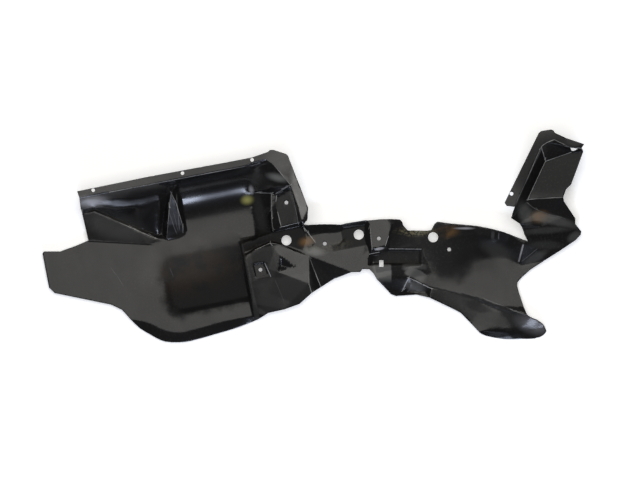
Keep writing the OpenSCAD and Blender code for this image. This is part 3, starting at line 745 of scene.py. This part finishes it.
@dataclass(frozen=True)
class HighlightedFold:
    """A fold of the sheet with a painted highlight, in plan millimetres, and its share of the width.
    """

    path: tuple
    share: float

    def holds(self, start: Vector, end: Vector, reach: float = 2.6, straight: float = 0.85) -> bool:
        """Says whether an edge of the sheet lies along the fold.

        Args:
            start: One end of the edge in plan millimetres.
            end: Its other end.
            reach: How far from the fold it may lie, in millimetres.
            straight: How parallel it is at least, as a cosine.

        Returns:
            True when the edge lies along the fold.
        """
        middle, along = (start + end) / 2, (end - start).normalized()
        for a, b in zip(self.path, self.path[1:]):
            first, way = Vector(a), Vector(b) - Vector(a)
            share = min(max((middle - first).dot(way) / way.length_squared, 0.0), 1.0)
            near = (middle - first - way * share).length < reach
            if near and abs(along.dot(way.normalized())) > straight:
                return True
        return False


@dataclass(frozen=True)
class Basin:
    """A stretch of the sheet that is drawn smooth, and how often it is smoothed."""

    outline: tuple
    repeat: int


@dataclass
class Shell:
    """The moulded sheet itself."""

    name: str = "liner_sheet"
    # Thickness of the sheet, and width of the grid that its skin is cut into
    wall: float = 2.4 * MM
    grid: float = 4.0 * MM
    # Points closer than these are merged, in the copy of the solid and in the cut grid
    copy_weld: float = 0.02 * MM
    weld: float = 0.4 * MM
    # Least height of a face's normal on the upper skin, and the bend in degrees that still is flat
    upward: float = 0.02
    flat_angle: float = 1.0
    # Width of a fold's painted highlight face, and the least bend in degrees that can have one
    fold_width: float = 0.8 * MM
    fold_angle: float = 5.0
    # How far a point moves towards its neighbours at each smoothing, as a share, and how often the
    # whole skin is smoothed
    smooth_factor: float = 0.5
    smooth_repeat: int = 1
    # Bevel of the sheet's edges, which are those with at least this bend in degrees
    rim_bevel: float = 0.3 * MM
    rim_segments: int = 2
    rim_angle: float = 60.0
    # Bend in degrees from which the shading shows an edge
    shade_angle: float = 42.0
    # Folds that get the painted highlight, each with its share of the width
    folds: tuple = (
        # Triangle, rib and the fold round the flange
        HighlightedFold(((-433, 141), (-395, 115), (-350, 84), (-322, 65)), 1.0),
        HighlightedFold(((-274, 148), (-284, 118), (-293, 86), (-300, 62)), 0.8),
        HighlightedFold(((-274, 148), (-268, 126), (-266, 102), (-264, 80), (-266, 66)), 0.9),
        HighlightedFold(((-390, 172), (-122, 172)), 0.5),
        HighlightedFold(((-75, 178), (-67, 170), (-60, 160), (-54, 149), (-48, 138), (-42, 127),
                    (-37, 118)), 0.9),
        # Box
        HighlightedFold(((-107, 117), (-78, 110), (-70, 107), (-37, 118)), 1.0),
        HighlightedFold(((-78, 110), (-81, 95), (-84, 80), (-87, 58), (-89, 36)), 0.5),
        HighlightedFold(((-69, 102), (-71, 40), (-36, 42), (-38, 112)), 0.8),
        # Plate and the panels beside it
        HighlightedFold(((-27, 31), (-20, 17), (-10, -3)), 1.0),
        HighlightedFold(((-128, 6), (-99, 13), (-85, 8), (-60, -9)), 0.7),
        HighlightedFold(((-99, 13), (-96, -44), (-92, -48)), 0.8),
        HighlightedFold(((-28, -27), (-38, -82), (-36, -101)), 1.0),
        HighlightedFold(((-28, -27), (-16, -93)), 1.0),
        # Slot, pad and cup
        HighlightedFold(((92, -46), (112, -46)), 0.9),
        HighlightedFold(((131, -43), (196, -56)), 0.4),
        HighlightedFold(((143, 8), (126, -36)), 0.9),
        HighlightedFold(((103, 10), (99, -36)), 0.6),
        HighlightedFold(((143, -131), (160, -107), (200, -137)), 1.2),
        # Wing
        HighlightedFold(((422, 2), (471, 70), (524, 78)), 0.9),
        HighlightedFold(((470, 100), (396, -2)), 0.8),
        HighlightedFold(((471, 70), (468, 100), (480, 106), (496, 109), (524, 88), (546, 82)), 0.9),
        HighlightedFold(((422, 2), (493, -7)), 1.2),
        HighlightedFold(((420, -4), (428, -14), (440, -24), (460, -36), (483, -46), (509, -53)), 0.8))
    basins: tuple = (
        # Lobe, and the corner of it by the wing's neck
        Basin(((203, -62), (255, -50), (300, -50), (345, -66), (374, -88), (378, -116), (392, -134),
               (376, -150), (365, -165), (367, -205), (330, -192), (300, -172), (256, -148),
               (214, -128)), 40),
        Basin(((318, -48), (326, -74), (350, -88), (374, -94), (368, -74), (350, -57), (334, -48)), 8),
        # Round wall of the tub
        Basin(((-254, 70), (-254, 168), (-90, 168), (-74, 162), (-66, 152), (-58, 140), (-53, 130),
               (-62, 122), (-80, 118), (-112, 122), (-122, 110), (-124, 66)), 24),
        # Pocket beside the triangle
        Basin(((-455, 150), (-455, 162), (-433, 164), (-390, 157), (-345, 151), (-300, 152),
               (-301, 120), (-308, 80), (-318, 76), (-346, 93), (-391, 124), (-429, 149)), 20),
        # End of the tub beside the box
        Basin(((-136, 24), (-136, 120), (-110, 112), (-86, 104), (-92, 60), (-94, 34)), 12),
        # Step from the tub up to the plate
        Basin(((-166, -128), (-162, 34), (-148, 34), (-150, -20), (-148, -128)), 3),
        # Cup below the slot
        Basin(((94, -100), (92, -76), (128, -80), (150, -86), (190, -94), (190, -125), (162, -112),
               (140, -128), (122, -130)), 4),
        # Dish
        Basin(((-354, 44), (-354, -112), (-166, -112), (-166, 44)), 30),
        # Neck
        Basin(((402, -70), (440, -62), (505, -68), (512, -86), (466, -108), (424, -100)), 14),
        # Foot
        Basin(((215, -150), (256, -160), (300, -188), (332, -208), (392, -236), (400, -250),
               (330, -250), (285, -238), (240, -190)), 10))
    plastic: BlackPlastic = field(default_factory=BlackPlastic)
    # Painted highlight on the narrow faces along the folds
    fold_highlight: FoldHighlightPaint = field(default_factory=FoldHighlightPaint)

    def build(self) -> bpy.types.Object:
        """Models the sheet and puts it in the node's place.

        Returns:
            The finished piece.
        """
        skin = self.upper_skin()
        skin.data.materials.clear()
        skin.data.materials.append(self.plastic.material())
        skin.data.materials.append(self.fold_highlight.material())
        self.cut(skin)
        self.crease(skin)
        self.soften(skin)
        self.thicken(skin)
        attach(skin, BODY)
        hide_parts(NODE)
        return skin

    def upper_skin(self) -> bpy.types.Object:
        """Copies the CAD node, merges the copy and keeps what faces up.

        Returns:
            The open upper skin.
        """
        hold(FRAME["nodes"][NODE])
        bpy.ops.object.duplicate()
        skin = bpy.context.view_layer.objects.active
        skin.name = self.name
        # The copy isn't a CAD node itself, so it loses the marks of one
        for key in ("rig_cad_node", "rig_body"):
            if key in skin:
                del skin[key]
        open_mesh(skin, Pick.POINTS)
        bpy.ops.mesh.select_all(action="SELECT")
        bpy.ops.mesh.remove_doubles(threshold=self.copy_weld)
        close_mesh()
        pick_faces(skin, lambda face: face.normal.z < self.upward)
        open_mesh(skin, Pick.FACES)
        bpy.ops.mesh.delete(type="FACE")
        bpy.ops.mesh.select_all(action="SELECT")
        bpy.ops.mesh.dissolve_limited(angle_limit=math.radians(self.flat_angle))
        close_mesh()
        return skin

    def cut(self, skin: bpy.types.Object) -> None:
        """Cuts the skin into a fine grid, so that its folds can be softened.

        Args:
            skin: The open skin.
        """
        low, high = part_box(NODE)
        open_mesh(skin, Pick.POINTS)
        for axis in (Axis.Z, Axis.X, Axis.Y):
            start, end = low[axis.value], high[axis.value]
            steps = round((end - start) / self.grid)
            for step in range(1, steps):
                place, way = Vector(), Vector()
                place[axis.value] = start + (end - start) * step / steps
                way[axis.value] = 1.0
                bpy.ops.mesh.select_all(action="SELECT")
                bpy.ops.mesh.bisect(plane_co=place, plane_no=way)
        bpy.ops.mesh.select_all(action="SELECT")
        bpy.ops.mesh.remove_doubles(threshold=self.weld)
        close_mesh()

    def crease(self, skin: bpy.types.Object) -> None:
        """Gives each listed fold a narrow face in the painted highlight material.

        Args:
            skin: The open skin, cut into its grid.
        """
        sides = {}
        for face in skin.data.polygons:
            for key in face.edge_keys:
                sides.setdefault(key, []).append(face.normal.copy())
        places = [plan(point.co) for point in skin.data.vertices]
        weights = skin.data.attributes.new("bevel_weight_edge", "FLOAT", "EDGE")
        least = math.radians(self.fold_angle)
        widest = max(fold.share for fold in self.folds)
        for edge in skin.data.edges:
            pair = sides.get(edge.key, [])
            if len(pair) != 2 or pair[0].angle(pair[1], 0.0) < least:
                continue
            start, end = (places[index] for index in edge.vertices)
            shares = [fold.share for fold in self.folds if fold.holds(start, end)]
            weights.data[edge.index].value = max(shares, default=0.0) / widest
        fold = skin.modifiers.new("fold", "BEVEL")
        fold.width = self.fold_width * widest
        fold.segments = 1
        fold.limit_method = "WEIGHT"
        fold.use_clamp_overlap = False
        # Second material of the skin, the one with the painted fold highlight
        fold.material = 1
        apply(skin, "fold")

    def soften(self, skin: bpy.types.Object) -> None:
        """Rounds the folds and the basins, and leaves the trimmed edge where it is.

        Args:
            skin: The open skin with its painted fold highlights.
        """
        open_mesh(skin, Pick.POINTS)
        bpy.ops.mesh.select_all(action="SELECT")
        bpy.ops.mesh.region_to_loop()
        bpy.ops.mesh.select_mode(type=Pick.POINTS.value)
        bpy.ops.mesh.select_all(action="INVERT")
        bpy.ops.mesh.vertices_smooth(factor=self.smooth_factor, repeat=self.smooth_repeat)
        close_mesh()
        inner = {point.index for point in skin.data.vertices if point.select}
        for basin in self.basins:
            pick_points(skin, lambda point: point.index in inner and inside(basin.outline, point.co))
            open_mesh(skin, Pick.POINTS)
            bpy.ops.mesh.vertices_smooth(factor=self.smooth_factor, repeat=basin.repeat)
            close_mesh()

    def thicken(self, skin: bpy.types.Object) -> None:
        """Gives the skin its wall below, a fine bevel round its edges and the solid's own box.

        Args:
            skin: The open softened skin.
        """
        wall = skin.modifiers.new("wall", "SOLIDIFY")
        wall.thickness = self.wall
        wall.offset = -1.0
        wall.use_even_offset = True
        wall.thickness_clamp = 1.0
        apply(skin, "wall")
        rim = skin.modifiers.new("rim", "BEVEL")
        rim.width = self.rim_bevel
        rim.segments = self.rim_segments
        rim.limit_method = "ANGLE"
        rim.angle_limit = math.radians(self.rim_angle)
        rim.use_clamp_overlap = False
        apply(skin, "rim")
        low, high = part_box(NODE)
        for point in skin.data.vertices:
            for axis in Axis:
                at = axis.value
                point.co[at] = min(max(point.co[at], low[at]), high[at])
        hold(skin)
        bpy.ops.object.shade_smooth_by_angle(angle=math.radians(self.shade_angle))


@dataclass(frozen=True)
class Lamp:
    """A rectangular lamp, in metres and watts, that faces a place."""

    name: str
    place: tuple
    size: tuple
    power: float
    colour: tuple
    aim: tuple

    def build(self) -> None:
        """Hangs the lamp where it belongs, unseen by the camera."""
        data = bpy.data.lights.new(self.name, "AREA")
        data.shape = "RECTANGLE"
        data.size, data.size_y = self.size
        data.energy = self.power
        data.color = self.colour
        lamp = bpy.data.objects.new(self.name, data)
        lamp.location = self.place
        way = Vector(self.aim) - Vector(self.place)
        lamp.rotation_euler = way.to_track_quat("-Z", "Y").to_euler()
        lamp.visible_camera = False
        bpy.context.scene.collection.objects.link(lamp)


@dataclass
class Studio:
    """Floor, lamps, world and camera."""

    # Camera: its turn in degrees against the sheet's own axes, its height, the width that it sees,
    # the width of its sensor in millimetres, and the nearest and farthest that it sees
    roll: float = 10.8
    distance: float = 20.0
    view_width: float = 1.28
    sensor: float = 36.0
    clip: tuple = (0.1, 200.0)
    # Floor: half its width, how far below the sheet it lies, its whiteness and its glow
    floor_half: float = 30.0
    floor_drop: float = 0.4 * MM
    floor_colour: tuple = (0.9, 0.9, 0.9, 1.0)
    floor_roughness: float = 0.9
    floor_glow: float = 0.36
    glow_colour: tuple = (1.0, 1.0, 1.0, 1.0)
    # Dim light from all round
    surround: float = 0.05
    surround_colour: tuple = (0.9, 0.93, 1.0, 1.0)
    lamps: tuple = (
        # Wide panel overhead
        Lamp("ceiling", place=(0.2, 1.0, 3.4), size=(3.2, 3.4), power=114.0,
             colour=(1.0, 0.985, 0.950), aim=(0.2, 1.0, 0.0)),
        # Low window on the side away from the flange
        Lamp("window", place=(-0.3, -2.75, 1.8), size=(1.3, 0.5), power=52.0,
             colour=(0.72, 0.80, 1.0), aim=(0.0, 0.0, 0.0)))

    def build(self) -> None:
        """Sets up all that isn't part of the object."""
        self.floor()
        self.world()
        for lamp in self.lamps:
            lamp.build()
        self.camera()
        bpy.context.scene.view_settings.view_transform = "Standard"

    def floor(self) -> None:
        """Lays a white floor that keeps the object's shadow."""
        bpy.ops.mesh.primitive_plane_add(size=2 * self.floor_half,
                                         location=(0.0, 0.0, -self.floor_drop))
        floor = bpy.context.view_layer.objects.active
        floor.name = "floor"
        web = Weave("white_floor")
        web.fix("Base Color", self.floor_colour)
        web.fix("Roughness", self.floor_roughness)
        web.fix("Specular IOR Level", 0.0)
        web.fix("Emission Color", self.glow_colour)
        rays = web.tree.nodes.new("ShaderNodeLightPath")
        seen = web.join(Blend.MOST, rays.outputs["Is Camera Ray"], rays.outputs["Is Glossy Ray"])
        web.feed("Emission Strength", web.join(Blend.TIMES, seen, self.floor_glow))
        floor.data.materials.append(web.made)

    def world(self) -> None:
        """Gives a dim even surround."""
        world = bpy.data.worlds.new("surround")
        world.use_nodes = True
        back = world.node_tree.nodes["Background"]
        back.inputs["Color"].default_value = self.surround_colour
        back.inputs["Strength"].default_value = self.surround
        bpy.context.scene.world = world

    def camera(self) -> None:
        """Looks straight down, turned as the photograph is."""
        data = bpy.data.cameras.new("camera")
        data.sensor_width = self.sensor
        data.lens = self.sensor * self.distance / self.view_width
        data.clip_start, data.clip_end = self.clip
        camera = bpy.data.objects.new("camera", data)
        middle = spot(0.0, 0.0)
        camera.location = (middle.x, middle.y, self.distance)
        camera.rotation_euler = (0.0, 0.0, math.radians(-self.roll))
        bpy.context.scene.collection.objects.link(camera)
        bpy.context.scene.camera = camera


def main() -> None:
    """Builds the stage and the object."""
    logging.basicConfig(level=logging.INFO, format="%(message)s")
    Studio().build()
    sheet = Shell().build()
    log.info("%s: %d faces", sheet.name, len(sheet.data.polygons))


if __name__ == "__main__":
    main()
